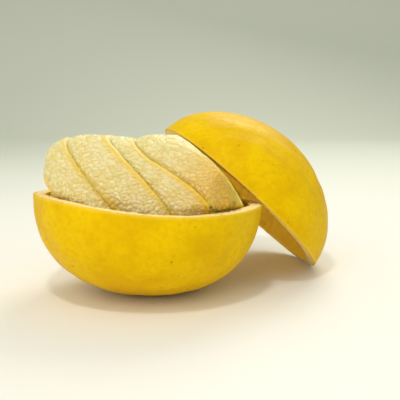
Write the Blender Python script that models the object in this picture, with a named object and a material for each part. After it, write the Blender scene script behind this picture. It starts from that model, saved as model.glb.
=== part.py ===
"""An opened pomelo: the peel as two half shells, and the peeled segments piled in the lower one.

Metres, +Z up. The origin is in the small flat spot that the lower half rests on, at the lowest
point of its curve.
The lower half holds the segments. The upper half leans over them from the right and the back,
with the low end of its cut edge on the same surface.
"""
import math

import bmesh
import bpy
import numpy as np
from mathutils import Matrix, Vector

# The fruit, across its cut and along its axis
FRUIT_RADIUS = 0.072
LOWER_DEPTH = 0.0600
UPPER_DEPTH = 0.0549
PEEL_THICKNESS = 0.0080
CUT_EDGE_ROUND = 0.0007
PITH_RIDGES = 14
PITH_RIDGE_HEIGHT = 0.0007

# How full each half is between its cut and its pole: 2 is an ellipse, more is boxier
LOWER_FULLNESS = 2.28
UPPER_FULLNESS = 1.86

# The slow rise and fall of each cut edge: cosine and sine of twice and of three times the angle
LOWER_WAVE = (0.00044, 0.00024, 0.00068, -0.00078)
UPPER_WAVE = (0.00020, 0.00060, -0.00040, 0.0)
WAVE_FADE = 6

# How the lower half stands: its cut face leans away from the front and to the right
LOWER_PITCH = math.radians(-2.56)
LOWER_ROLL = math.radians(3.60)
LOWER_FLAT_DEPTH = 0.0012

# How the upper half leans: the tilt of its crown from straight up, and its turn to the back
UPPER_TILT = math.radians(44.1)
UPPER_TURN = math.radians(15.2)
UPPER_CENTRE_X = 0.0553
UPPER_CENTRE_Y = 0.0606
UPPER_FLAT_DEPTH = 0.0008

# The stem scar in the crown of the upper half, which stands up by a share of its dimple's depth
STEM_DIMPLE_RADIUS = 0.013
STEM_DIMPLE_DEPTH = 0.0022
STEM_SCAR_RADIUS = 0.0038
STEM_SCAR_SHARE = 0.55
STEM_SCAR_STEP = 1.35
DIMPLE_SPREAD = 0.55

# Facets of the peel halves
PEEL_SECTORS = 56
PEEL_OUTER_RINGS = 11
PEEL_INNER_RINGS = 8
FIRST_ANGLE = 0.06
LAST_INNER_ANGLE = 1.45

# The pile: slices that lean to the left, each a half moon with its rounded back up
PILE_LEAN = math.radians(45)
PILE_X = -0.0065
PILE_Y = -0.0045
PILE_Z = -0.0029
PILE_GAP = 0.0005
SHEET_BEND_REACH = 0.046
SHEET_BEND_EASE = 0.012
BOWL_CLEARANCE = 0.0008
BOWL_FIT = 0.985
BOWL_EASE = 0.08
OVERHANG = 0.0045
OVERHANG_HEIGHT = 0.010
CAP_CLEARANCE = 0.0010
CAP_EASE = 0.0015
SAC_RELIEF = 0.0007

# A segment's section and tips: widths and lengths are shares of the full ones
VENTRAL_WIDTH = 0.34
VENTRAL_LENGTH = 0.6
VENTRAL_ROUND = 0.06
FULL_WIDTH_SHARE = 0.80
BACK_ROUND = 0.0042
BACK_ROUND_SHARE = 0.22
BACK_ROUND_LEAST = 0.02
BACK_ROUND_MOST = 0.45
BACK_FULLNESS = 2.3
TIP_WIDTH = 0.99
TIP_CURL = math.radians(8)
TIP_LENGTH = 0.35
THINNEST = 0.0004

# How the points of a section crowd towards the back
SECTION_SPACING = 0.67
BACK_CROWDING = 0.38

# Facets of a segment
SEGMENT_STATIONS = 26
SEGMENT_SIDES = 24
HIDDEN_STATIONS = 20
HIDDEN_SIDES = 18

# Materials
PEEL_COLOUR = (0.83, 0.55, 0.005)
PEEL_ROUGHNESS = 0.42
FLESH_COLOUR = (0.80, 0.62, 0.26)
FLESH_ROUGHNESS = 0.30
SMOOTH_ANGLE = math.radians(40)


def clear_scene():
    """Removes whatever objects the file starts with."""
    for item in list(bpy.data.objects):
        bpy.data.objects.remove(item, do_unlink=True)


def principled(name, colour, roughness):
    """A plain Principled material."""
    material = bpy.data.materials.new(name)
    material.use_nodes = True
    shader = material.node_tree.nodes["Principled BSDF"]
    shader.inputs["Base Color"].default_value = (*colour, 1.0)
    shader.inputs["Roughness"].default_value = roughness
    shader.inputs["Metallic"].default_value = 0.0
    return material


def closed_rings(rings, first_pole, last_pole):
    """A skin of triangles over rings of points, closed by a fan at each end.

    Each four-sided cell is split between its two corners of odd number, so that where even points
    stand out, each becomes a peak of its own.
    """
    shell = bmesh.new()
    rows = [[shell.verts.new(point) for point in ring] for ring in rings]
    start = shell.verts.new(first_pole)
    end = shell.verts.new(last_pole)
    sides = len(rows[0])
    for i, (near, far) in enumerate(zip(rows[:-1], rows[1:])):
        for k in range(sides):
            m = (k + 1) % sides
            if (i + k) % 2:
                shell.faces.new((near[k], far[k], far[m]))
                shell.faces.new((near[k], far[m], near[m]))
            else:
                shell.faces.new((near[k], far[k], near[m]))
                shell.faces.new((near[m], far[k], far[m]))
    for k in range(sides):
        m = (k + 1) % sides
        shell.faces.new((start, rows[0][k], rows[0][m]))
        shell.faces.new((end, rows[-1][m], rows[-1][k]))
    if shell.calc_volume(signed=True) < 0:
        bmesh.ops.reverse_faces(shell, faces=shell.faces[:])
    return shell


def cut_flat(shell, height):
    """Slices off what lies below the height and closes the cut with one flat face."""
    geometry = shell.verts[:] + shell.edges[:] + shell.faces[:]
    bmesh.ops.bisect_plane(
        shell, geom=geometry, dist=1e-7, plane_co=(0, 0, height), plane_no=(0, 0, -1), clear_outer=True
    )
    open_edges = [edge for edge in shell.edges if edge.is_boundary]
    bmesh.ops.edgeloop_fill(shell, edges=open_edges)
    bmesh.ops.recalc_face_normals(shell, faces=shell.faces[:])


def add_object(name, shell, material):
    """Turns a bmesh into a smooth-shaded object."""
    mesh = bpy.data.meshes.new(name)
    shell.to_mesh(mesh)
    shell.free()
    mesh.materials.append(material)
    mesh.shade_smooth()
    mesh.set_sharp_from_angle(angle=SMOOTH_ANGLE)
    item = bpy.data.objects.new(name, mesh)
    bpy.context.scene.collection.objects.link(item)
    return item


def half_radius(radius, fullness, angle):
    """Distance of a half's skin from its axis, at an angle from the cut (0) to the pole (a right angle)."""
    return radius * math.cos(angle) ** (2 / fullness)


def half_drop(depth, fullness, angle):
    """How far below the cut a half's skin lies at the same angle."""
    return depth * math.sin(angle) ** (2 / fullness)


def angle_at(radius, fullness):
    """The angle at which the outside of a half has the given distance from the axis."""
    return math.acos((radius / FRUIT_RADIUS) ** (fullness / 2))


def peel_rings(depth, fullness, wave_shares, dimple_depth):
    """The turned shape of a peel half: up the outside from the pole, over the cut face, down the inside.

    The outside is half a superellipsoid with its pole at -depth. At the pole of the half that has
    the stem end, it dips into a shallow dimple with a low round scar in it. The cut edge rises and
    falls a little round the fruit, and the pith inside keeps a low ridge where each wall between
    two segments met it.
    """
    around = np.linspace(0, 2 * math.pi, PEEL_SECTORS, endpoint=False)
    basis = (np.cos(2 * around), np.sin(2 * around), np.cos(3 * around), np.sin(3 * around))
    wave = sum(share * term for share, term in zip(wave_shares, basis))
    rings = []

    def ring(radius, height):
        rings.append(np.stack([radius * np.cos(around), radius * np.sin(around), height], axis=-1))

    scar_foot = STEM_SCAR_STEP * STEM_SCAR_RADIUS
    stem_radii = [STEM_SCAR_RADIUS / 2, STEM_SCAR_RADIUS, scar_foot, (scar_foot + STEM_DIMPLE_RADIUS) / 2]
    angles = [angle_at(radius, fullness) for radius in stem_radii]
    angles += list(np.linspace(angle_at(STEM_DIMPLE_RADIUS, fullness), FIRST_ANGLE, PEEL_OUTER_RINGS))
    for angle in angles:
        radius = half_radius(FRUIT_RADIUS, fullness, angle)
        dimple = dimple_depth * math.exp(-((radius / (DIMPLE_SPREAD * STEM_DIMPLE_RADIUS)) ** 2))
        scar = STEM_SCAR_SHARE * dimple_depth if 2 * radius < STEM_SCAR_RADIUS + scar_foot else 0.0
        drop = half_drop(depth, fullness, angle) - dimple + scar
        ring(radius, wave * math.cos(angle) ** WAVE_FADE - drop)
    pole_height = (1 - STEM_SCAR_SHARE) * dimple_depth - depth
    ring(FRUIT_RADIUS, wave - CUT_EDGE_ROUND)
    ring(FRUIT_RADIUS - CUT_EDGE_ROUND, wave)
    inner_radius = FRUIT_RADIUS - PEEL_THICKNESS
    inner_depth = depth - PEEL_THICKNESS
    ring(inner_radius + CUT_EDGE_ROUND, wave)
    for angle in np.linspace(FIRST_ANGLE / 3, LAST_INNER_ANGLE, PEEL_INNER_RINGS):
        ridge = PITH_RIDGE_HEIGHT * np.cos(PITH_RIDGES * around) * math.cos(angle)
        radius = half_radius(1.0, fullness, angle) * (inner_radius - ridge)
        ring(radius, wave * math.cos(angle) ** WAVE_FADE - half_drop(inner_depth, fullness, angle))
    return rings, (0, 0, pole_height), (0, 0, -inner_depth)


def placement(tilt_matrix, centre):
    """A 4x4 matrix that turns by the given matrix and then moves to the centre."""
    return Matrix.Translation(Vector(centre)) @ tilt_matrix.to_4x4()


def lower_placement():
    """Stands the lower half with the lowest point of its curve over the origin, less the flat's depth.

    The lowest point of a tilted superellipsoid lies where its surface normal points straight down.
    """
    turn = Matrix.Rotation(LOWER_PITCH, 3, "X") @ Matrix.Rotation(LOWER_ROLL, 3, "Y")
    down = turn.transposed() @ Vector((0, 0, -1))
    sideways = Vector((down.x, down.y, 0))
    dual = LOWER_FULLNESS / (LOWER_FULLNESS - 1)
    radial = FRUIT_RADIUS * sideways.length
    axial = LOWER_DEPTH * -down.z
    reach = (radial**dual + axial**dual) ** (1 / dual)
    lowest_radius = FRUIT_RADIUS * (radial / reach) ** (dual - 1)
    lowest_drop = LOWER_DEPTH * (axial / reach) ** (dual - 1)
    lowest = turn @ (sideways.normalized() * lowest_radius - Vector((0, 0, lowest_drop)))
    return placement(turn, (-lowest.x, -lowest.y, -lowest.z - LOWER_FLAT_DEPTH))


def upper_placement():
    """Leans the upper half over, with the low end of its cut edge just under the surface it stands on."""
    turn = Matrix.Rotation(UPPER_TURN, 3, "Z") @ Matrix.Rotation(math.pi + UPPER_TILT, 3, "Y")
    height = FRUIT_RADIUS * math.sin(UPPER_TILT) - UPPER_FLAT_DEPTH
    return placement(turn, (UPPER_CENTRE_X, UPPER_CENTRE_Y, height))


def make_peel_half(name, rings_and_poles, matrix, material):
    """Makes one half shell of peel in place, with its resting flat cut at the height of the surface."""
    rings, outer_pole, inner_pole = rings_and_poles
    shell = closed_rings(rings, outer_pole, inner_pole)
    bmesh.ops.transform(shell, matrix=matrix, verts=shell.verts[:])
    cut_flat(shell, 0.0)
    bmesh.ops.triangulate(shell, faces=shell.faces[:])
    return add_object(name, shell, material)


def sheet_offset(sheet, along):
    """Where a parting sheet between two segments lies, at a height along the lean.

    A sheet is its offset from the origin plane, the height of the middle of its bend, and how
    sharply it bends within a reach on either side.
    """
    offset, bend_height, bend = sheet
    bent = eased_limit(np.abs(along - bend_height), SHEET_BEND_REACH, SHEET_BEND_EASE)
    return offset - bend * bent**2


def eased_limit(value, limit, ease):
    """Leaves a value alone up to limit - ease, and from there brings it ever closer to the limit."""
    start = limit - ease
    return np.where(value > start, limit - ease * np.exp(-(value - start) / ease), value)


def squeeze_into_bowl(points, matrix):
    """Keeps the points inside the lower half and, above its cut, inside a tube that flares a little.

    In the half's own frame a point's distance from the middle, measured in inner radii, is eased
    to just under one, so that what would pass through the peel lies against it.
    """
    to_local = np.array(matrix.inverted())
    to_world = np.array(matrix)
    local = points @ to_local[:3, :3].T + to_local[:3, 3]
    inner_radius = FRUIT_RADIUS - PEEL_THICKNESS - BOWL_CLEARANCE - PITH_RIDGE_HEIGHT
    inner_depth = LOWER_DEPTH - PEEL_THICKNESS - BOWL_CLEARANCE
    flare = OVERHANG * np.clip(local[:, 2] / OVERHANG_HEIGHT, 0, 1)
    side_part = np.hypot(local[:, 0], local[:, 1]) / (inner_radius + flare)
    depth_part = np.maximum(-local[:, 2], 0.0) / inner_depth
    reach = (side_part**LOWER_FULLNESS + depth_part**LOWER_FULLNESS) ** (1 / LOWER_FULLNESS)
    reach = np.maximum(reach, 1e-6)
    kept = eased_limit(reach, BOWL_FIT, BOWL_EASE) / reach
    local[:, 0] *= kept
    local[:, 1] *= kept
    local[:, 2] = np.where(local[:, 2] < 0, local[:, 2] * kept, local[:, 2])
    return local @ to_world[:3, :3].T + to_world[:3, 3]


def press_under_cap(points, matrix):
    """Presses the points against the plane of the upper half's cut face, a little short of it."""
    crown = np.array(matrix.to_3x3() @ Vector((0, 0, -1)))
    centre = np.array(matrix.translation)
    distance = (points - centre) @ crown
    pressed = eased_limit(distance, -CAP_CLEARANCE, CAP_EASE)
    return points - (distance - pressed)[:, None] * crown


def segment_points(shape, stations, sides):
    """Rings of points for one segment, swept from its front tip over its back to its rear tip.

    The back follows half an ellipse in the plane of the lean and the ventral edge is a shorter
    straight line, so each ring is a section that fans out from the one to the other. A section is
    a rounded wedge: as wide as the two parting sheets allow near the back, closed over it by a
    flat crown, and a third as wide at the ventral edge. Every second point stands out by the
    relief, in staggered rows, for the ends of the juice sacs.
    """
    low_sheet, high_sheet, ventral, crest, crest_slope, middle_y, half_length = shape
    curl = TIP_CURL if crest > ventral else -TIP_CURL
    travel = np.linspace(-curl, math.pi + curl, stations)[:, None]
    step = np.linspace(0, 2 * math.pi, sides, endpoint=False)[None, :]
    turn = step - BACK_CROWDING * np.sin(step)
    share = 0.5 + 0.5 * np.sign(np.cos(turn)) * np.abs(np.cos(turn)) ** SECTION_SPACING
    rise = np.sin(travel)
    tip_width = TIP_WIDTH + (1 - TIP_WIDTH) * np.clip(rise, 0, 1) ** 0.5
    parity = (np.arange(stations)[:, None] + np.arange(sides)[None, :]) % 2
    bump = np.where(parity == 0, SAC_RELIEF, -SAC_RELIEF)

    root_y = -np.cos(travel) * half_length * VENTRAL_LENGTH
    back_y = -np.cos(travel) * half_length
    back_rise = (crest - ventral) * rise
    span = np.hypot(back_y - root_y, back_rise)
    crest_height = ventral + back_rise
    back_width = sheet_offset(high_sheet, crest_height) - sheet_offset(low_sheet, crest_height)
    round_reach = np.minimum(BACK_ROUND, BACK_ROUND_SHARE * np.maximum(back_width, THINNEST))
    back_round = np.clip(round_reach / span, BACK_ROUND_LEAST, BACK_ROUND_MOST)
    wedge = VENTRAL_WIDTH + (1 - VENTRAL_WIDTH) * np.clip(share / FULL_WIDTH_SHARE, 0, 1)
    crown = np.clip((share - 1 + back_round) / back_round, 0, 1)
    back_cap = (1 - crown**BACK_FULLNESS) ** (1 / BACK_FULLNESS)
    root_cap = np.sqrt(1 - np.clip(1 - share / VENTRAL_ROUND, 0, 1) ** 2)
    side = np.sign(np.round(np.sin(turn), 9)) * wedge * back_cap * root_cap

    outward = share + bump * (2 * share - 1) / span
    lengthwise = PILE_Y + middle_y + root_y + (back_y - root_y) * outward
    level = ventral + back_rise * outward
    width = np.maximum(sheet_offset(high_sheet, level) - sheet_offset(low_sheet, level), THINNEST)
    height = level + crest_slope * side * width / 2 * share * np.clip(rise, 0, 1)
    low = sheet_offset(low_sheet, height) + PILE_GAP / 2 + SAC_RELIEF
    high = sheet_offset(high_sheet, height) - PILE_GAP / 2 - SAC_RELIEF
    half = np.maximum((high - low) / 2, THINNEST)
    across = (low + high) / 2 + side * (half * tip_width + bump)
    x = PILE_X + across * math.sin(PILE_LEAN) - height * math.cos(PILE_LEAN)
    z = PILE_Z + across * math.cos(PILE_LEAN) + height * math.sin(PILE_LEAN)
    return np.stack([x, lengthwise, z], axis=-1)


def make_segment(name, shape, bowl_matrix, cap_matrix, material, hidden=False):
    """Lofts one segment, presses it against the peel it touches and closes its tips."""
    stations = HIDDEN_STATIONS if hidden else SEGMENT_STATIONS
    sides = HIDDEN_SIDES if hidden else SEGMENT_SIDES
    points = segment_points(shape, stations, sides)
    flat = points.reshape(-1, 3)
    flat = press_under_cap(squeeze_into_bowl(flat, bowl_matrix), cap_matrix)
    rings = flat.reshape(stations, sides, 3)
    tips = [ring.mean(axis=0) + TIP_LENGTH * (ring.mean(axis=0) - inner.mean(axis=0))
            for ring, inner in ((rings[0], rings[1]), (rings[-1], rings[-2]))]
    shell = closed_rings([[Vector(point) for point in ring] for ring in rings], tips[0], tips[1])
    return add_object(name, shell, material)


def main():
    clear_scene()
    peel = principled("peel", PEEL_COLOUR, PEEL_ROUGHNESS)
    flesh = principled("flesh", FLESH_COLOUR, FLESH_ROUGHNESS)
    bowl_matrix = lower_placement()
    cap_matrix = upper_placement()
    lower_rings = peel_rings(LOWER_DEPTH, LOWER_FULLNESS, LOWER_WAVE, 0.0)
    upper_rings = peel_rings(UPPER_DEPTH, UPPER_FULLNESS, UPPER_WAVE, STEM_DIMPLE_DEPTH)
    make_peel_half("peel_lower", lower_rings, bowl_matrix, peel)
    make_peel_half("peel_upper", upper_rings, cap_matrix, peel)

    # Parting sheets of the leaning pile, from the lower left to the upper right:
    # offset, height along the lean where the sheet bends, bend per metre
    left = (-0.014, 0.050, 0.0)
    first = (0.012, 0.060, 1.0)
    second = (0.0346, 0.070, 0.0)
    third = (0.0578, 0.055, 3.0)
    fourth = (0.0750, 0.022, 5.6)
    right = (0.0927, 0.020, 5.3)

    # low sheet, high sheet, ventral height, crest height, slope of the crest, middle along Y,
    # half length
    shapes = {
        "segment_1": (left, first, 0.026, 0.0900, 0.3, 0.002, 0.053),
        "segment_2": (first, second, 0.0505, 0.1095, 0.15, 0.004, 0.058),
        "segment_3": (second, third, 0.0360, 0.1010, -0.85, 0.002, 0.060),
        "segment_4": (third, fourth, 0.0080, 0.0840, -1.2, -0.001, 0.059),
        "segment_5": (fourth, right, -0.0100, 0.0710, -0.9, 0.000, 0.057),
    }
    hidden_shapes = {
        "segment_6": (first, second, 0.0462, -0.006, 0.0, 0.000, 0.055),
        "segment_7": (second, third, 0.0315, -0.014, 0.0, 0.000, 0.055),
    }
    for name, shape in shapes.items():
        make_segment(name, shape, bowl_matrix, cap_matrix, flesh)
    for name, shape in hidden_shapes.items():
        make_segment(name, shape, bowl_matrix, cap_matrix, flesh, hidden=True)


main()
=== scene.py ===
"""Looks of the opened pomelo: rind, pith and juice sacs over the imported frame.

Metres, +Z up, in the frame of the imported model. Each peel half and each segment is made again as one
fine surface from the same driving sizes as its solid. The peel keeps within 1.5 mm of its solid. The
segments keep within 4 mm: their backs are rounder, and neighbours run into each other a little.
"""

import math

import bpy
import numpy as np
from mathutils import Matrix, Vector


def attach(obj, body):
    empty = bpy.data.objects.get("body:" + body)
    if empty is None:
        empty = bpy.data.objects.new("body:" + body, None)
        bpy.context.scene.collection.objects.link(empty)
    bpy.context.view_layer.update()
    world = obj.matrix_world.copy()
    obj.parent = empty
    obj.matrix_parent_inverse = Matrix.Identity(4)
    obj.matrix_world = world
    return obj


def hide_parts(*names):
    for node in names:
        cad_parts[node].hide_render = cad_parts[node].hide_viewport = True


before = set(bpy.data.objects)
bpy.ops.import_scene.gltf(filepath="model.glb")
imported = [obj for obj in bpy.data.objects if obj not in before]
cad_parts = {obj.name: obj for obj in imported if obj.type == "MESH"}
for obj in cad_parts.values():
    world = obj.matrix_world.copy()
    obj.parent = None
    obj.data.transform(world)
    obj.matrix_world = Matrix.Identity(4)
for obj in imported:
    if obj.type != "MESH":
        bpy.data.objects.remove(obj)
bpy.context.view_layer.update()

# The fruit, across its cut and along its axis
FRUIT_RADIUS = 0.072
LOWER_DEPTH = 0.0600
UPPER_DEPTH = 0.0549
PEEL_THICKNESS = 0.0080
CUT_EDGE_ROUND = 0.0007
PITH_RIDGES = 14
PITH_RIDGE_HEIGHT = 0.0007
LOWER_FULLNESS = 2.28
UPPER_FULLNESS = 1.86
LOWER_WAVE = (0.00044, 0.00024, 0.00068, -0.00078)
UPPER_WAVE = (0.00020, 0.00060, -0.00040, 0.0)
WAVE_FADE = 6

# How the two halves stand
LOWER_PITCH = math.radians(-2.56)
LOWER_ROLL = math.radians(3.60)
LOWER_FLAT_DEPTH = 0.0012
UPPER_TILT = math.radians(44.1)
UPPER_TURN = math.radians(15.2)
UPPER_CENTRE_X = 0.0553
UPPER_CENTRE_Y = 0.0606
UPPER_FLAT_DEPTH = 0.0008

# The stem scar in the crown of the upper half
STEM_DIMPLE_RADIUS = 0.013
STEM_DIMPLE_DEPTH = 0.0022
STEM_SCAR_RADIUS = 0.0038
STEM_SCAR_SHARE = 0.55
DIMPLE_SPREAD = 0.55

# Skin of the peel: swells of the rind, torn pith on the cut, sponge inside
RIND_SWELL = 0.00022
RIND_SINK = 0.00010
RIND_SWELL_LENGTH = 0.021
CUT_ROUGH = 0.00022
CUT_SINK = 0.00035
PITH_ROUGH = 0.00030
RIND_SKIN = 0.0011
TEAR_LENGTH = 0.0045
FINE_TEAR_LENGTH = 0.0019
FINE_TEAR_SHARE = 0.6
TEAR_AT_EDGE = 0.35
SPONGE_LENGTH = 0.0055
SKIN_EDGE_LENGTH = 0.004
RIM_DEPTH = 0.0022

# The pile of segments
PILE_LEAN = math.radians(45)
PILE_X = -0.0065
PILE_Y = -0.0045
PILE_Z = -0.0029
PILE_OVERLAP = 0.0006
SHEET_BEND_REACH = 0.046
SHEET_BEND_EASE = 0.012
BOWL_CLEARANCE = 0.0002
BOWL_FIT = 0.995
BOWL_EASE = 0.05
OVERHANG = 0.0045
OVERHANG_HEIGHT = 0.005
CAP_CLEARANCE = 0.0010
CAP_EASE = 0.0015
VENTRAL_WIDTH = 0.34
VENTRAL_LENGTH = 0.6
VENTRAL_ROUND = 0.06
FULL_WIDTH_SHARE = 0.80
BACK_ROUND = 0.0042
BACK_ROUND_SHARE = 0.22
BACK_ROUND_LEAST = 0.02
BACK_ROUND_MOST = 0.45
# how much the painted groove shade fades towards the crest
GROOVE_SHADE_FADE = 0.45
BARE_SPREAD = 1.5
TIP_WIDTH = 0.99
TIP_CURL = math.radians(8)
TIP_BULGE = 0.0024
THINNEST = 0.0004
SECTION_SPACING = 0.67
BACK_CROWDING = 0.70

# Juice sacs: spindles that run from the ventral edge out to the back
SAC_WIDTH = 0.0022
SAC_STRETCH = 1.4
SAC_LENGTH = 0.0090
SAC_RELIEF = 0.0012
FLANK_SWELL = 0.00016
SAC_JITTER = 0.78
SAC_DRIFT = 0.20
SAC_DRIFT_LENGTH = 0.013
SAC_SEED_STEP = 37
FLANK_RELIEF = 0.45
BACK_RELIEF = 0.55
LEAST_RELIEF = 0.65
RELIEF_SPREAD = 0.5
BACK_EDGE = 0.25
FLANK_EDGE = 0.60

# Patterns of the materials, each about the size of one mark
RIND_BLOTCH = 0.030
RIND_GRAIN = 0.0032
RIND_LUMP = 0.0024
OIL_GLAND = 0.0013
SPECK_SPACING = 0.0075
SPECK_PATCH = 0.022
SPONGE_GRAIN = 0.006
FLESH_BLOTCH = 0.012
FLESH_SHEEN = 0.003
FLESH_WRINKLE = 0.0011
PAPER_GRAIN = 0.004

# The photograph's viewpoint
CAMERA_PLACE = (0.02739, -0.49075, 0.13514)
CAMERA_PITCH = math.radians(9)
CAMERA_LENS = 69.75

# Grids
PEEL_SECTORS = 320
OUTSIDE_ROWS = 84
INSIDE_ROWS = 44
SEGMENT_STATIONS = 440
SEGMENT_SIDES = 150
TIP_ROWS = 9
CUT_BEND_ROWS = 5
CUT_FACE_ROWS = 14
NEAR_POLE_ANGLE = 1.556


def srgb(code):
    """Linear colour of an sRGB hex code."""
    channels = [int(code[k:k + 2], 16) / 255 for k in (1, 3, 5)]
    linear = [c / 12.92 if c <= 0.04045 else ((c + 0.055) / 1.055) ** 2.4 for c in channels]
    return (*linear, 1.0)


def hashed(cells, salt):
    """A repeatable draw between 0 and 1 for each cell of whole-number coordinates (last axis of 3)."""
    mixed = cells[..., 0] * 73856093 ^ cells[..., 1] * 19349663 ^ cells[..., 2] * 83492791 ^ salt * 2654435761
    mixed = (mixed ^ (mixed >> 13)) * 1274126177 & 0xFFFFFFFF
    mixed = (mixed ^ (mixed >> 16)) * 2246822519 & 0xFFFFFFFF
    return (mixed ^ (mixed >> 15) & 0xFFFF) % 65536 / 65536


def sac_cells(coordinates):
    """Dome height and tint of the sac at each point, from cells jittered in a 3-D grid.

    A dome is one less the square of the ratio of the distances to the nearest and the second
    nearest cell centre: 1 at a centre and 0 where two cells meet. The tint is one draw per cell.
    """
    base = np.floor(coordinates).astype(np.int64)
    nearest = np.full(coordinates.shape[:-1], 9.0)
    second = np.full(coordinates.shape[:-1], 9.0)
    tint = np.zeros(coordinates.shape[:-1])
    steps = np.array([(i, j, k) for i in (-1, 0, 1) for j in (-1, 0, 1) for k in (-1, 0, 1)])
    for step in steps:
        cell = base + step
        draw = np.stack([hashed(cell, salt) for salt in (1, 2, 3)], axis=-1)
        centre = cell + 0.5 + SAC_JITTER * (draw - 0.5)
        distance = np.linalg.norm(coordinates - centre, axis=-1)
        closer = distance < nearest
        second = np.where(closer, nearest, np.minimum(second, distance))
        nearest = np.where(closer, distance, nearest)
        tint = np.where(closer, hashed(cell, 4), tint)
    return 1 - (nearest / second) ** 2, tint


def swells(points, length, seed, waves=16):
    """Smooth unevenness of about unit size: a sum of plane waves near the given wavelength."""
    draw = np.random.default_rng(seed)
    directions = draw.normal(size=(waves, 3))
    directions /= np.linalg.norm(directions, axis=1, keepdims=True)
    directions *= 2 * math.pi / length * draw.uniform(0.6, 1.5, size=(waves, 1))
    phases = draw.uniform(0, 2 * math.pi, size=waves)
    return np.cos(points @ directions.T + phases).sum(axis=-1) / math.sqrt(waves / 2)


def grid_normals(grid):
    """Outward unit normals of a grid of rings (rows, around, 3), from its two tangents."""
    along = np.gradient(grid, axis=0)
    around = np.roll(grid, -1, axis=1) - np.roll(grid, 1, axis=1)
    normal = np.cross(along, around)
    normal /= np.maximum(np.linalg.norm(normal, axis=-1, keepdims=True), 1e-12)
    outward = grid - grid.mean(axis=(0, 1))
    return normal * np.sign((normal * outward).sum())


def add_surface(name, rings, poles, layers, material):
    """A closed, smooth, outward-facing mesh over rings of points, with a fan to a pole at each end.

    Layers are named values per grid point, kept as point attributes; a pole takes its ring's mean.
    """
    rows, sides = rings.shape[:2]
    points = np.concatenate([rings.reshape(-1, 3), np.array(poles)])
    row, column = np.meshgrid(np.arange(rows - 1), np.arange(sides), indexing="ij")
    after = (column + 1) % sides
    quads = np.stack([
        row * sides + column, (row + 1) * sides + column,
        (row + 1) * sides + after, row * sides + after,
    ], axis=-1).reshape(-1, 4)
    first = np.arange(sides)
    following = (first + 1) % sides
    last_row = (rows - 1) * sides
    start_fan = np.stack([np.full(sides, rows * sides), first, following], axis=-1)
    end_fan = np.stack([np.full(sides, rows * sides + 1), last_row + following, last_row + first], axis=-1)
    a, b, c, d = (points[quads[:, k]] for k in range(4))
    volume = (np.cross(a, b) * c).sum() + (np.cross(a, c) * d).sum()
    if volume < 0:
        quads, start_fan, end_fan = quads[:, ::-1], start_fan[:, ::-1], end_fan[:, ::-1]
    mesh = bpy.data.meshes.new(name)
    mesh.from_pydata(points.tolist(), [], quads.tolist() + start_fan.tolist() + end_fan.tolist())
    for layer, values in layers.items():
        ends = [values[0].mean(), values[-1].mean()]
        attribute = mesh.attributes.new(layer, "FLOAT", "POINT")
        attribute.data.foreach_set("value", np.concatenate([values.reshape(-1), ends]).astype(np.float32))
    mesh.materials.append(material)
    mesh.shade_smooth()
    item = bpy.data.objects.new(name, mesh)
    bpy.context.scene.collection.objects.link(item)
    return item


def smooth_step(value, low, high):
    """0 below low, 1 above high and a smooth rise between."""
    share = np.clip((value - low) / (high - low), 0, 1)
    return share * share * (3 - 2 * share)


def lower_placement():
    """Stands the lower half with the lowest point of its curve over the origin, less the flat's depth."""
    turn = Matrix.Rotation(LOWER_PITCH, 3, "X") @ Matrix.Rotation(LOWER_ROLL, 3, "Y")
    down = turn.transposed() @ Vector((0, 0, -1))
    sideways = Vector((down.x, down.y, 0))
    dual = LOWER_FULLNESS / (LOWER_FULLNESS - 1)
    radial = FRUIT_RADIUS * sideways.length
    axial = LOWER_DEPTH * -down.z
    reach = (radial**dual + axial**dual) ** (1 / dual)
    lowest_radius = FRUIT_RADIUS * (radial / reach) ** (dual - 1)
    lowest_drop = LOWER_DEPTH * (axial / reach) ** (dual - 1)
    lowest = turn @ (sideways.normalized() * lowest_radius - Vector((0, 0, lowest_drop)))
    return np.array(turn), np.array((-lowest.x, -lowest.y, -lowest.z - LOWER_FLAT_DEPTH))


def upper_placement():
    """Leans the upper half over, with the low end of its cut edge just under the surface it stands on."""
    turn = Matrix.Rotation(UPPER_TURN, 3, "Z") @ Matrix.Rotation(math.pi + UPPER_TILT, 3, "Y")
    height = FRUIT_RADIUS * math.sin(UPPER_TILT) - UPPER_FLAT_DEPTH
    return np.array(turn), np.array((UPPER_CENTRE_X, UPPER_CENTRE_Y, height))


def peel_profile(depth, fullness):
    """Rows from the outer pole over the cut to the inner pole: angle, radius, drop, depth into the skin.

    The outside is half a superellipse, the cut is flat between two small quarter rounds, and the
    inside is a smaller half superellipse. The last number is how far in from the rind a row lies.
    """
    power = 2 / fullness
    inner_radius = FRUIT_RADIUS - PEEL_THICKNESS
    inner_depth = depth - PEEL_THICKNESS
    edge = CUT_EDGE_ROUND
    top_angle = math.asin((edge / depth) ** (1 / power))
    outside = np.linspace(NEAR_POLE_ANGLE, top_angle, OUTSIDE_ROWS)
    inner_top_angle = math.asin((edge / inner_depth) ** (1 / power))
    inside = np.linspace(inner_top_angle, NEAR_POLE_ANGLE, INSIDE_ROWS)
    bend = np.linspace(0, math.pi / 2, CUT_BEND_ROWS)[1:]
    face = np.linspace(FRUIT_RADIUS - edge, inner_radius + edge, CUT_FACE_ROWS)[1:]
    angle = np.concatenate([outside, 0 * bend, 0 * face, 0 * bend, inside[1:]])
    radius = np.concatenate([
        FRUIT_RADIUS * np.cos(outside) ** power, FRUIT_RADIUS - edge + edge * np.cos(bend), face,
        inner_radius + edge - edge * np.sin(bend), inner_radius * np.cos(inside[1:]) ** power,
    ])
    drop = np.concatenate([
        depth * np.sin(outside) ** power, edge - edge * np.sin(bend), 0 * face,
        edge - edge * np.cos(bend), inner_depth * np.sin(inside[1:]) ** power,
    ])
    into = np.concatenate([
        0 * outside, edge * (1 - np.cos(bend)), FRUIT_RADIUS - face,
        PEEL_THICKNESS + 0 * bend, PEEL_THICKNESS + 0 * inside[1:],
    ])
    return angle, radius, drop, into


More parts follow.
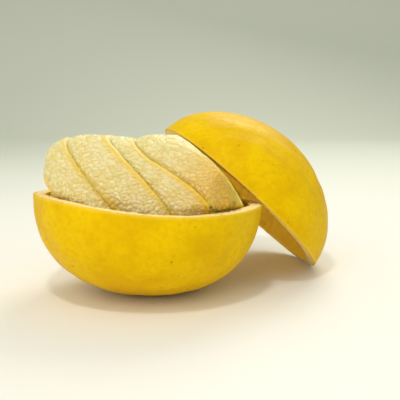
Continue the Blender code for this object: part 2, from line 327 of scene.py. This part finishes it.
def make_peel_half(name, depth, fullness, wave_shares, dimple_depth, placement, material):
    """One half of the peel: radius and drop of each row of the profile, turned round the axis.

    On top of the turned shape: the wave of the cut edge, fading with the cosine of the angle; the
    stem's dimple as a bell curve with a flat-topped scar in it; slow swells of the rind, inward
    only; a sunken, torn cut face; and the low ridges of the pith as a cosine of the angle round.
    """
    angle, radius, drop, into = (column[:, None] for column in peel_profile(depth, fullness))
    around = np.linspace(0, 2 * math.pi, PEEL_SECTORS, endpoint=False)[None, :]
    basis = (np.cos(2 * around), np.sin(2 * around), np.cos(3 * around), np.sin(3 * around))
    wave = sum(share * term for share, term in zip(wave_shares, basis))
    is_inside = into >= PEEL_THICKNESS
    is_outside = into <= 0
    ridge = np.where(is_inside, PITH_RIDGE_HEIGHT * np.cos(PITH_RIDGES * around) * np.cos(angle), 0)
    bell = dimple_depth * np.exp(-((radius / (DIMPLE_SPREAD * STEM_DIMPLE_RADIUS)) ** 2))
    scar = STEM_SCAR_SHARE * dimple_depth
    on_scar = 1 - smooth_step(radius / STEM_SCAR_RADIUS, 0.9, 1.15)
    lift = np.where(is_outside, bell - scar * on_scar, 0)
    reach = radius - ridge * (radius / FRUIT_RADIUS)
    height = wave * np.cos(angle) ** WAVE_FADE - drop + lift
    local = np.stack([reach * np.cos(around), reach * np.sin(around), height], axis=-1)
    past_rind = smooth_step(into, 0.0004, 0.0016)
    before_inside = 1 - smooth_step(into, PEEL_THICKNESS - 0.0012, PEEL_THICKNESS)
    on_face = past_rind * before_inside
    torn = CUT_ROUGH * swells(local, TEAR_LENGTH, 5)
    torn = torn + FINE_TEAR_SHARE * CUT_ROUGH * swells(local, FINE_TEAR_LENGTH, 6)
    normals = grid_normals(local)
    outer_give = RIND_SWELL * (np.clip(swells(local, RIND_SWELL_LENGTH, 7), -2, 1) - 1) * is_outside
    outer_give = (outer_give - RIND_SINK * is_outside) * smooth_step(drop, 0.0005, 0.006)
    sponge = PITH_ROUGH * swells(local, SPONGE_LENGTH, 8) * is_inside * smooth_step(drop, 0.0, 0.004)
    local = local + normals * (outer_give + sponge)[..., None]
    at_edge = (1 - on_face) * (drop < 0.002)
    local[..., 2] += on_face * (torn - CUT_SINK) - TEAR_AT_EDGE * CUT_ROUGH * at_edge
    turn, centre = placement
    points = local @ turn.T + centre
    poles = np.array([[0, 0, -depth + dimple_depth * (1 - STEM_SCAR_SHARE)], [0, 0, PEEL_THICKNESS - depth]])
    poles = poles @ turn.T + centre
    points[..., 2] = np.maximum(points[..., 2], 0)
    poles[:, 2] = np.maximum(poles[:, 2], 0)
    whole = np.ones(points.shape[:2])
    skin_edge = into + PITH_ROUGH * swells(local, SKIN_EDGE_LENGTH, 9)
    layers = {
        "pith": smooth_step(skin_edge, RIND_SKIN / 2, RIND_SKIN * 1.6) * (into > 0),
        "inside": smooth_step(into, PEEL_THICKNESS - 0.0015, PEEL_THICKNESS) * whole,
        "stem": on_scar * is_outside * whole * (dimple_depth > 0),
        "rim": (1 - smooth_step(drop, 0.0, RIM_DEPTH)) * whole,
    }
    item = add_surface(name + "_skin", points, poles, layers, material)
    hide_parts(name)
    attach(item, "root")


def sheet_offset(sheet, along):
    """Where a parting sheet between two segments lies, at a height along the lean."""
    offset, bend_height, bend = sheet
    bent = eased_limit(np.abs(along - bend_height), SHEET_BEND_REACH, SHEET_BEND_EASE)
    return offset - bend * bent**2


def eased_limit(value, limit, ease):
    """Leaves a value alone up to limit - ease, and from there brings it ever closer to the limit."""
    start = limit - ease
    return np.where(value > start, limit - ease * np.exp(-(value - start) / ease), value)


def squeeze_into_bowl(points, placement):
    """Keeps the points inside the lower half and, above its cut, inside a tube that flares a little."""
    turn, centre = placement
    local = (points - centre) @ turn
    inner_radius = FRUIT_RADIUS - PEEL_THICKNESS - BOWL_CLEARANCE - PITH_RIDGE_HEIGHT
    inner_depth = LOWER_DEPTH - PEEL_THICKNESS - BOWL_CLEARANCE
    flare = OVERHANG * np.clip(local[..., 2] / OVERHANG_HEIGHT, 0, 1)
    side_part = np.hypot(local[..., 0], local[..., 1]) / (inner_radius + flare)
    depth_part = np.maximum(-local[..., 2], 0.0) / inner_depth
    reach = (side_part**LOWER_FULLNESS + depth_part**LOWER_FULLNESS) ** (1 / LOWER_FULLNESS)
    reach = np.maximum(reach, 1e-6)
    kept = eased_limit(reach, BOWL_FIT, BOWL_EASE) / reach
    down = np.where(local[..., 2] < 0, kept, 1.0)
    return local * np.stack([kept, kept, down], axis=-1) @ turn.T + centre


def press_under_cap(points, placement):
    """Presses the points against the plane of the upper half's cut face, a little short of it."""
    turn, centre = placement
    crown = turn @ np.array((0, 0, -1))
    distance = (points - centre) @ crown
    pressed = eased_limit(distance, -CAP_CLEARANCE, CAP_EASE)
    return points - (distance - pressed)[..., None] * crown


def segment_grid(shape, stations, sides):
    """Rings of points for one segment, swept from its front tip over its back to its rear tip.

    The back follows half an ellipse in the plane of the lean and the ventral edge is a shorter
    straight line, so each ring is a section that fans out from the one to the other. A section is
    as wide as the two parting sheets allow near the back, and a third as wide at the ventral edge.
    The back closes it with a soft arch: the root of one less the share of the way up the crown.
    Returned beside the points are the coordinates of the juice sacs (along the back, across, and
    outward, in sac sizes), the share of the way up the crown, which a flank without a neighbour
    counts as, and how low on the back a point lies, from 1 at the tips down.
    """
    low_sheet, high_sheet, ventral, crest, crest_slope, middle_y, half_length, bare_side = shape
    curl = TIP_CURL if crest > ventral else -TIP_CURL
    travel = np.linspace(-curl, math.pi + curl, stations)[:, None]
    step = np.linspace(0, 2 * math.pi, sides, endpoint=False)[None, :]
    turn = step - BACK_CROWDING * np.sin(step)
    share = 0.5 + 0.5 * np.sign(np.cos(turn)) * np.abs(np.cos(turn)) ** SECTION_SPACING
    rise = np.sin(travel)
    tip_width = TIP_WIDTH + (1 - TIP_WIDTH) * np.clip(rise, 0, 1) ** 0.5
    root_y = -np.cos(travel) * half_length * VENTRAL_LENGTH
    back_y = -np.cos(travel) * half_length
    back_rise = (crest - ventral) * rise
    span = np.hypot(back_y - root_y, back_rise)
    crest_height = ventral + back_rise
    back_width = sheet_offset(high_sheet, crest_height) - sheet_offset(low_sheet, crest_height)
    round_reach = np.minimum(BACK_ROUND, BACK_ROUND_SHARE * np.maximum(back_width, THINNEST))
    back_round = np.clip(round_reach / span, BACK_ROUND_LEAST, BACK_ROUND_MOST)
    wedge = VENTRAL_WIDTH + (1 - VENTRAL_WIDTH) * np.clip(share / FULL_WIDTH_SHARE, 0, 1)
    crown = np.clip((share - 1 + back_round) / back_round, 0, 1)
    back_cap = np.sqrt(1 - crown)
    root_cap = np.sqrt(1 - np.clip(1 - share / VENTRAL_ROUND, 0, 1) ** 2)
    side = np.sign(np.round(np.sin(turn), 9)) * wedge * back_cap * root_cap
    lengthwise = PILE_Y + middle_y + root_y + (back_y - root_y) * share
    level = ventral + back_rise * share
    width = np.maximum(sheet_offset(high_sheet, level) - sheet_offset(low_sheet, level), THINNEST)
    height = level + crest_slope * side * width / 2 * share * np.clip(rise, 0, 1)
    low = sheet_offset(low_sheet, height) - PILE_OVERLAP / 2
    high = sheet_offset(high_sheet, height) + PILE_OVERLAP / 2
    half = np.maximum((high - low) / 2, THINNEST)
    across = (low + high) / 2 + side * half * tip_width
    x = PILE_X + across * math.sin(PILE_LEAN) - height * math.cos(PILE_LEAN)
    z = PILE_Z + across * math.cos(PILE_LEAN) + height * math.sin(PILE_LEAN)
    points = np.stack([x, lengthwise, z], axis=-1)
    back_length = 0.5 * (half_length + abs(crest - ventral))
    full = np.ones_like(x)
    sacs = np.stack([
        travel * back_length / SAC_WIDTH * full, across / (SAC_STRETCH * SAC_WIDTH),
        share * span / SAC_LENGTH * full,
    ], axis=-1)
    # the painted groove shade on the flanks fades towards the crest by this
    lowness = 1 - GROOVE_SHADE_FADE * np.clip(rise, 0, 1) ** 4
    bare = np.maximum(crown, np.clip(BARE_SPREAD * side * bare_side, 0, 1))
    return points, sacs, bare * full, lowness * full


def rounded_ends(grid):
    """Adds rows that close each end of a grid of rings in a quarter round, bulging outward a little."""
    turns = np.linspace(0, math.pi / 2, TIP_ROWS + 1)[1:-1]

    def end_rows(edge, inner):
        middle = edge.mean(axis=0)
        outward = (middle - inner.mean(axis=0))[:3]
        outward = outward / max(np.linalg.norm(outward), 1e-9) * TIP_BULGE
        push = np.zeros(grid.shape[-1])
        push[:3] = outward
        rows = [middle + (edge - middle) * math.cos(t) + push * math.sin(t) for t in turns]
        return rows, middle + push

    start_rows, start_pole = end_rows(grid[0], grid[2])
    end_rows_list, end_pole = end_rows(grid[-1], grid[-3])
    closed = np.concatenate([np.array(start_rows[::-1]), grid, np.array(end_rows_list)])
    return closed, (start_pole[:3], end_pole[:3])


def make_segment(name, shape, seed, detail, lower, upper, material):
    """One peeled segment with its juice sacs standing out of the skin as rows of small domes.

    The relief is taken inward from the smooth outline, so that the tops of the sacs stay in it.
    """
    stations = int(SEGMENT_STATIONS * detail)
    sides = int(SEGMENT_SIDES * detail)
    points, sacs, crown, lowness = segment_grid(shape, stations, sides)
    points = press_under_cap(squeeze_into_bowl(points, lower), upper)
    columns = [points, sacs, crown[..., None], lowness[..., None]]
    packed, poles = rounded_ends(np.concatenate(columns, axis=-1))
    points, sacs, crown, lowness = packed[..., :3], packed[..., 3:6], packed[..., 6], packed[..., 7]
    drift = np.stack([swells(points, SAC_DRIFT_LENGTH, seed + k) for k in (1, 2, 3)], axis=-1)
    dome, tint = sac_cells(sacs + SAC_DRIFT * drift + SAC_SEED_STEP * seed)
    on_back = smooth_step(crown, 0.0, BACK_EDGE)
    relief = SAC_RELIEF * (FLANK_RELIEF + BACK_RELIEF * on_back) * (LEAST_RELIEF + RELIEF_SPREAD * tint)
    normals = grid_normals(points)
    points = points + normals * (FLANK_SWELL * (1 - on_back) - relief * (1 - dome))[..., None]
    # flank and crease tell the material where to paint shade: down between segments and where sacs meet
    flank = (1 - smooth_step(crown, 0.0, FLANK_EDGE)) * lowness
    layers = {"crease": 1 - dome, "tint": tint, "flank": flank}
    item = add_surface(name + "_sacs", points, poles, layers, material)
    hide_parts(name)
    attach(item, "root")


def add_node(tree, kind, inputs=None, **settings):
    """Adds a shader node. Inputs maps a socket to a value or to another node's output."""
    item = tree.nodes.new(kind)
    for key, value in settings.items():
        setattr(item, key, value)
    for key, value in (inputs or {}).items():
        if isinstance(value, bpy.types.NodeSocket):
            tree.links.new(value, item.inputs[key])
        else:
            item.inputs[key].default_value = value
    return item


def new_material(name):
    """An empty node material with its shader and the object coordinates, in metres."""
    material = bpy.data.materials.new(name)
    material.use_nodes = True
    tree = material.node_tree
    shader = tree.nodes["Principled BSDF"]
    place = add_node(tree, "ShaderNodeTexCoord").outputs["Object"]
    return material, tree, shader, place


def noise(tree, place, size, detail=3.0, rough=0.55):
    """Noise whose blotches are about the given size in metres."""
    inputs = {"Vector": place, "Scale": 1 / size, "Detail": detail, "Roughness": rough}
    return add_node(tree, "ShaderNodeTexNoise", inputs).outputs["Fac"]


def cell_distance(tree, place, size):
    """Distance to the nearest cell centre, for cells of about the given size in metres."""
    inputs = {"Vector": place, "Scale": 1 / size}
    return add_node(tree, "ShaderNodeTexVoronoi", inputs).outputs["Distance"]


def layer(tree, name):
    """A point attribute of the surface."""
    return add_node(tree, "ShaderNodeAttribute", attribute_name=name).outputs["Fac"]


def remap(tree, value, low, high, to_low=0.0, to_high=1.0):
    """Takes low..high smoothly to to_low..to_high."""
    inputs = {"Value": value, "From Min": low, "From Max": high, "To Min": to_low, "To Max": to_high}
    return add_node(tree, "ShaderNodeMapRange", inputs, interpolation_type="SMOOTHSTEP").outputs["Result"]


def maths(tree, operation, first, second):
    """One sum, product and so on of two values."""
    return add_node(tree, "ShaderNodeMath", {0: first, 1: second}, operation=operation).outputs[0]


def mixed(tree, share, first, second):
    """A mix of two colours."""
    return add_node(tree, "ShaderNodeMix", {0: share, 6: first, 7: second}, data_type="RGBA").outputs[2]


def peel_material():
    """Pomelo peel: satin yellow rind full of oil glands, its cut edge, and the dry sponge of the pith.

    The glands are what gives the rind its fine pitted sheen; the pith is matt and off-white, so it
    takes up the yellow light around it. Its inside is painted a deep yellow: the pith's own cream
    with the yellow bounce light in the hollow painted in.
    """
    material, tree, shader, place = new_material("pomelo_rind_and_pith")
    pith = layer(tree, "pith")
    stem = layer(tree, "stem")
    rim = layer(tree, "rim")
    broad = noise(tree, place, RIND_BLOTCH)
    fine = noise(tree, place, RIND_GRAIN, 2.0)
    glands = cell_distance(tree, place, OIL_GLAND)
    rind = mixed(tree, remap(tree, broad, 0.38, 0.62), srgb("#E2B400"), srgb("#ECC200"))
    rind = mixed(tree, remap(tree, fine, 0.40, 0.70, 0.0, 0.35), rind, srgb("#D8A400"))
    speck = remap(tree, cell_distance(tree, place, SPECK_SPACING), 0.05, 0.11, 1.0, 0.0)
    speck_patch = remap(tree, noise(tree, place, SPECK_PATCH, 1.0), 0.47, 0.56)
    speck = maths(tree, "MULTIPLY", speck, speck_patch)
    rind = mixed(tree, maths(tree, "MULTIPLY", speck, 0.75), rind, srgb("#8A5A14"))
    rind = mixed(tree, maths(tree, "MULTIPLY", rim, 0.35), rind, srgb("#F6D658"))
    rind = mixed(tree, stem, rind, srgb("#8C7440"))
    sponge = mixed(tree, noise(tree, place, SPONGE_GRAIN), srgb("#FFEBB0"), srgb("#FADC94"))
    # painted bounce light: the inside of the pith is its own cream with yellow light from the rind painted in
    pith_hollow_and_bounce = mixed(tree, noise(tree, place, SPONGE_GRAIN), srgb("#FFDC50"), srgb("#FFCC38"))
    sponge = mixed(tree, layer(tree, "inside"), sponge, pith_hollow_and_bounce)
    tree.links.new(mixed(tree, pith, rind, sponge), shader.inputs["Base Color"])
    gloss = remap(tree, fine, 0.3, 0.7, 0.38, 0.48)
    shader.inputs["Specular IOR Level"].default_value = 0.04
    roughness = add_node(tree, "ShaderNodeMix", {0: pith, 2: gloss, 3: 0.85}).outputs[0]
    tree.links.new(roughness, shader.inputs["Roughness"])
    pits = add_node(tree, "ShaderNodeBump", {"Height": glands, "Strength": 0.35, "Distance": 0.00022})
    lumps = add_node(tree, "ShaderNodeBump", {
        "Height": noise(tree, place, RIND_LUMP, 3.0), "Strength": 0.30, "Distance": 0.0007,
        "Normal": pits.outputs[0],
    })
    tree.links.new(lumps.outputs[0], shader.inputs["Normal"])
    return material


def flesh_material():
    """Juice sacs: thin wet skins over clear pale-yellow juice.

    Light goes in and comes out again some millimetres away, which makes the flesh glow, and the
    wet skins throw small bright glints. Where sacs meet and down on the flanks between two segments,
    the colour holds painted shade: a deeper gold, for light that has crossed more juice. Towards +X
    it holds painted shade and yellow bounce light too, a deeper gold under the upper half.
    """
    material, tree, shader, place = new_material("pomelo_juice_sacs")
    crease = layer(tree, "crease")
    tint = layer(tree, "tint")
    flank = layer(tree, "flank")
    pale = mixed(tree, tint, srgb("#D4BE74"), srgb("#E6D8A2"))
    broad = remap(tree, noise(tree, place, FLESH_BLOTCH), 0.40, 0.62)
    pale = mixed(tree, maths(tree, "MULTIPLY", broad, 0.45), pale, srgb("#E2D0A0"))
    # painted shade: a deeper gold in the creases where the sacs meet
    gold = maths(tree, "MULTIPLY", remap(tree, crease, 0.55, 1.0), 0.35)
    colour = mixed(tree, gold, pale, srgb("#D6AE34"))
    # painted shade and yellow bounce light: a deeper gold towards +X, where the flesh lies under the upper
    # half
    toward_cap_shade = add_node(tree, "ShaderNodeSeparateXYZ", {0: place}).outputs["X"]
    colour = mixed(tree, remap(tree, toward_cap_shade, 0.005, 0.050, 0.0, 0.90), colour, srgb("#DCA810"))
    # painted groove shade: a deeper gold on the flanks down between two segments
    colour = mixed(tree, maths(tree, "MULTIPLY", flank, 0.80), colour, srgb("#EDBE34"))
    tree.links.new(colour, shader.inputs["Base Color"])
    roughness = remap(tree, noise(tree, place, FLESH_SHEEN), 0.35, 0.65, 0.32, 0.48)
    tree.links.new(roughness, shader.inputs["Roughness"])
    shader.inputs["IOR"].default_value = 1.36
    shader.inputs["Subsurface Weight"].default_value = 1.0
    shader.inputs["Subsurface Radius"].default_value = (1.0, 0.84, 0.30)
    shader.inputs["Subsurface Scale"].default_value = 0.0060
    shader.inputs["Specular IOR Level"].default_value = 0.30
    tree.links.new(remap(tree, flank, 0.0, 0.8, 0.45, 0.05), shader.inputs["Coat Weight"])
    shader.inputs["Coat Roughness"].default_value = 0.05
    wrinkle = add_node(tree, "ShaderNodeBump", {
        "Height": noise(tree, place, FLESH_WRINKLE, 2.0), "Strength": 0.25, "Distance": 0.00012,
    })
    tree.links.new(wrinkle.outputs[0], shader.inputs["Normal"])
    return material


def stage_material():
    """Plain matt backdrop paper: pale by the fruit, a little darker towards the back."""
    material, tree, shader, place = new_material("backdrop_paper")
    far = add_node(tree, "ShaderNodeSeparateXYZ", {0: place}).outputs["Y"]
    colour = mixed(tree, remap(tree, far, 0.10, 1.00), srgb("#F2EEE4"), srgb("#CDD0C0"))
    grain = maths(tree, "MULTIPLY", noise(tree, place, PAPER_GRAIN), 0.03)
    colour = mixed(tree, grain, colour, srgb("#B8B4A8"))
    tree.links.new(colour, shader.inputs["Base Color"])
    shader.inputs["Roughness"].default_value = 0.7
    return material


def add_stage():
    """The floor at the height of the object's feet, which turns up behind into a wall in a round sweep."""
    bend = np.linspace(0, math.pi / 2, 24)
    y = np.concatenate([[-2.0, 0.0, 1.2], 1.2 + 0.5 * np.sin(bend[1:]), [1.7]])
    z = np.concatenate([[0.0, 0.0, 0.0], 0.5 - 0.5 * np.cos(bend[1:]), [2.4]]) - 0.0002
    x = np.array([-2.5, 2.5])
    points = [(float(side), float(a), float(b)) for a, b in zip(y, z) for side in x]
    faces = [(2 * k, 2 * k + 1, 2 * k + 3, 2 * k + 2) for k in range(len(y) - 1)]
    mesh = bpy.data.meshes.new("sweep")
    mesh.from_pydata(points, [], faces)
    mesh.materials.append(stage_material())
    mesh.shade_smooth()
    item = bpy.data.objects.new("sweep", mesh)
    bpy.context.scene.collection.objects.link(item)


def add_area_light(name, place, target, size, power, colour):
    """A soft square light at a place, turned to its target."""
    data = bpy.data.lights.new(name, "AREA")
    data.shape = "SQUARE"
    data.size = size
    data.energy = power
    data.color = colour
    item = bpy.data.objects.new(name, data)
    item.location = place
    item.rotation_euler = (Vector(target) - Vector(place)).to_track_quat("-Z", "Y").to_euler()
    bpy.context.scene.collection.objects.link(item)


def add_light():
    """Soft studio light: a key from behind, a broad fill, a small lamp for glints and an even sky."""
    add_area_light("key", (0.33, 1.02, 0.92), (0.01, 0.02, 0.05), 0.70, 8.0, (1.0, 0.985, 0.95))
    add_area_light("fill", (-0.60, -1.15, 0.75), (0.01, 0.02, 0.05), 1.30, 7.0, (1.0, 0.98, 0.95))
    add_area_light("glint", (-0.10, -0.45, 0.95), (0.0, 0.0, 0.06), 0.10, 2.6, (1.0, 0.99, 0.96))
    world = bpy.data.worlds.new("sky")
    world.use_nodes = True
    sky = world.node_tree.nodes["Background"]
    sky.inputs["Color"].default_value = (0.93, 0.96, 0.92, 1.0)
    sky.inputs["Strength"].default_value = 0.66
    bpy.context.scene.world = world


def add_camera():
    """The photograph's viewpoint: from the front and a little above, looking down slightly."""
    data = bpy.data.cameras.new("camera")
    data.sensor_width = 36.0
    data.lens = CAMERA_LENS
    data.clip_start = 0.01
    item = bpy.data.objects.new("camera", data)
    item.location = CAMERA_PLACE
    item.rotation_euler = (math.pi / 2 - CAMERA_PITCH, 0.0, 0.0)
    bpy.context.scene.collection.objects.link(item)
    bpy.context.scene.camera = item


def main():
    """Makes the nine pieces, the stage, the light and the camera."""
    peel = peel_material()
    flesh = flesh_material()
    lower = lower_placement()
    upper = upper_placement()
    make_peel_half("peel_lower", LOWER_DEPTH, LOWER_FULLNESS, LOWER_WAVE, 0.0, lower, peel)
    make_peel_half("peel_upper", UPPER_DEPTH, UPPER_FULLNESS, UPPER_WAVE, STEM_DIMPLE_DEPTH, upper, peel)

    # Parting sheets: offset, height along the lean where the sheet bends, bend per metre
    left = (-0.0125, 0.075, 3.0)
    first = (0.012, 0.060, 1.0)
    second = (0.0346, 0.070, 0.0)
    third = (0.0578, 0.055, 3.0)
    fourth = (0.0750, 0.022, 5.6)
    right = (0.0927, 0.020, 5.3)
    # low sheet, high sheet, ventral height, crest height, slope of the crest, middle along Y,
    # half length, and the flank that no neighbour covers; then the fineness of the grid
    shapes = {
        "segment_1": ((left, first, 0.026, 0.0900, 0.3, 0.002, 0.053, -1), 1.0),
        "segment_2": ((first, second, 0.0505, 0.1095, 0.15, 0.004, 0.058, 0), 1.0),
        "segment_3": ((second, third, 0.0360, 0.1010, -0.85, 0.002, 0.060, 0), 1.0),
        "segment_4": ((third, fourth, 0.0080, 0.0840, -1.2, -0.001, 0.059, 0), 1.0),
        "segment_5": ((fourth, right, -0.0100, 0.0710, -0.9, -0.001, 0.0585, 1), 1.0),
        "segment_6": ((first, second, 0.0462, -0.006, 0.0, 0.000, 0.055, 0), 0.45),
        "segment_7": ((second, third, 0.0315, -0.014, 0.0, 0.000, 0.055, 0), 0.45),
    }
    for seed, (name, (shape, detail)) in enumerate(shapes.items()):
        make_segment(name, shape, seed, detail, lower, upper, flesh)
    add_stage()
    add_light()
    add_camera()
    bpy.context.scene.view_settings.view_transform = "Standard"


main()
